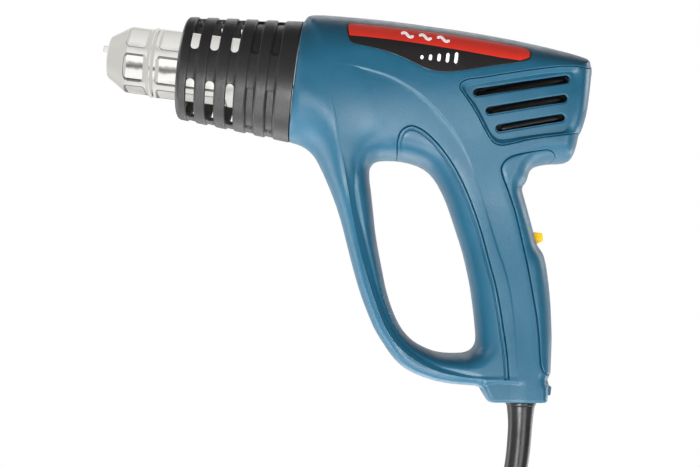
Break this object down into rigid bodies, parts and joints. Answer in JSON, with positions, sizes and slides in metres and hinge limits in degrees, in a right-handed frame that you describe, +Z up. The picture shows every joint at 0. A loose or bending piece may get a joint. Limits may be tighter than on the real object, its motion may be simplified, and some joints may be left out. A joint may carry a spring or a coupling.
{
  "type": "heat gun",
  "caption": "Hand-held electric hot-air gun with a closed-loop handle, ribbed barrel guard, steel nozzle, slide switch and mains lead.",
  "frame": {"origin": "where the barrel axis meets the flat rear rest plane", "axes": "+X out of the back of the gun along the barrel axis (hot air leaves along -X), +Z up with the handle towards -Z, -Y the gun's left side"},
  "size_m": [0.2507, 0.068, 0.2798],
  "materials": {
    "housing_blue": "moulded plastic, fine grain",
    "grip_blue": "moulded plastic, satin",
    "guard_black": "fine textured heat-resistant plastic",
    "nozzle_steel": "polished pressed steel",
    "tube_steel": "pressed steel",
    "label": "printed film",
    "switch_yellow": "satin",
    "cord_rubber": "matt",
    "inner_plastic": "moulded",
    "natural_plastic": "moulded",
    "mica": "pressed mica",
    "ceramic": "fired, matt",
    "copper": "wound wire",
    "zinc_steel": "zinc plated",
    "brass_contact": "bright",
    "board_green": "solder mask"
  },
  "bodies": {
    "gun": {"housing_left": "housing_blue", "housing_right": "housing_blue", "rear_cap": "housing_blue", "rear_grip_cover": "grip_blue", "front_grip_cover": "grip_blue", "label_left": "label", "label_right": "label", "barrel_guard": "guard_black", "heater_tube": "tube_steel", "thermal_cutout": "tube_steel", "motor_can": "tube_steel", "nozzle": "nozzle_steel", "mica_sleeve": "mica", "heater_end_disc": "mica", "ceramic_core": "ceramic", "heating_coil": "copper", "intake_grille_left": "inner_plastic", "intake_grille_right": "inner_plastic", "fan_shroud": "inner_plastic", "heater_mount_ring": "inner_plastic", "motor_end_cap": "inner_plastic", "switch_body": "inner_plastic", "cord_clamp": "inner_plastic", "motor_magnet_1": "inner_plastic", "motor_magnet_2": "inner_plastic", "carbon_brush_1": "inner_plastic", "carbon_brush_2": "inner_plastic", "rectifier_diode_1": "inner_plastic", "rectifier_diode_2": "inner_plastic", "rectifier_diode_3": "inner_plastic", "rectifier_diode_4": "inner_plastic", "terminal_block": "natural_plastic", "rectifier_board": "board_green", "suppression_capacitor": "switch_yellow", "switch_terminal_1": "brass_contact", "switch_terminal_2": "brass_contact", "switch_terminal_3": "brass_contact", "plug_pin_1": "brass_contact", "plug_pin_2": "brass_contact", "power_cord": "cord_rubber", "cord_boot": "cord_rubber", "plug_body": "cord_rubber", "lead_supply": "cord_rubber", "lead_switch": "cord_rubber", "lead_motor": "cord_rubber", "lead_heater": "cord_rubber", "housing_screw_1": "zinc_steel", "housing_screw_2": "zinc_steel", "housing_screw_3": "zinc_steel", "housing_screw_4": "zinc_steel", "housing_screw_5": "zinc_steel", "housing_screw_6": "zinc_steel", "housing_screw_7": "zinc_steel", "clamp_screw_1": "zinc_steel", "clamp_screw_2": "zinc_steel"},
    "fan_rotor": {"fan_impeller": "natural_plastic", "motor_armature": "copper"},
    "switch_knob": {"switch_slider": "switch_yellow"}
  },
  "joints": [
    {"name": "fan_spin", "type": "hinge", "parent": "gun", "child": "fan_rotor", "pos_m": [-0.08, 0, 0], "axis": [1, 0, 0], "continuous": true},
    {"name": "switch_slide", "type": "slide", "parent": "gun", "child": "switch_knob", "axis": [-0.3891, 0, 0.9212], "range_m": [0, 0.012]}
  ]
}
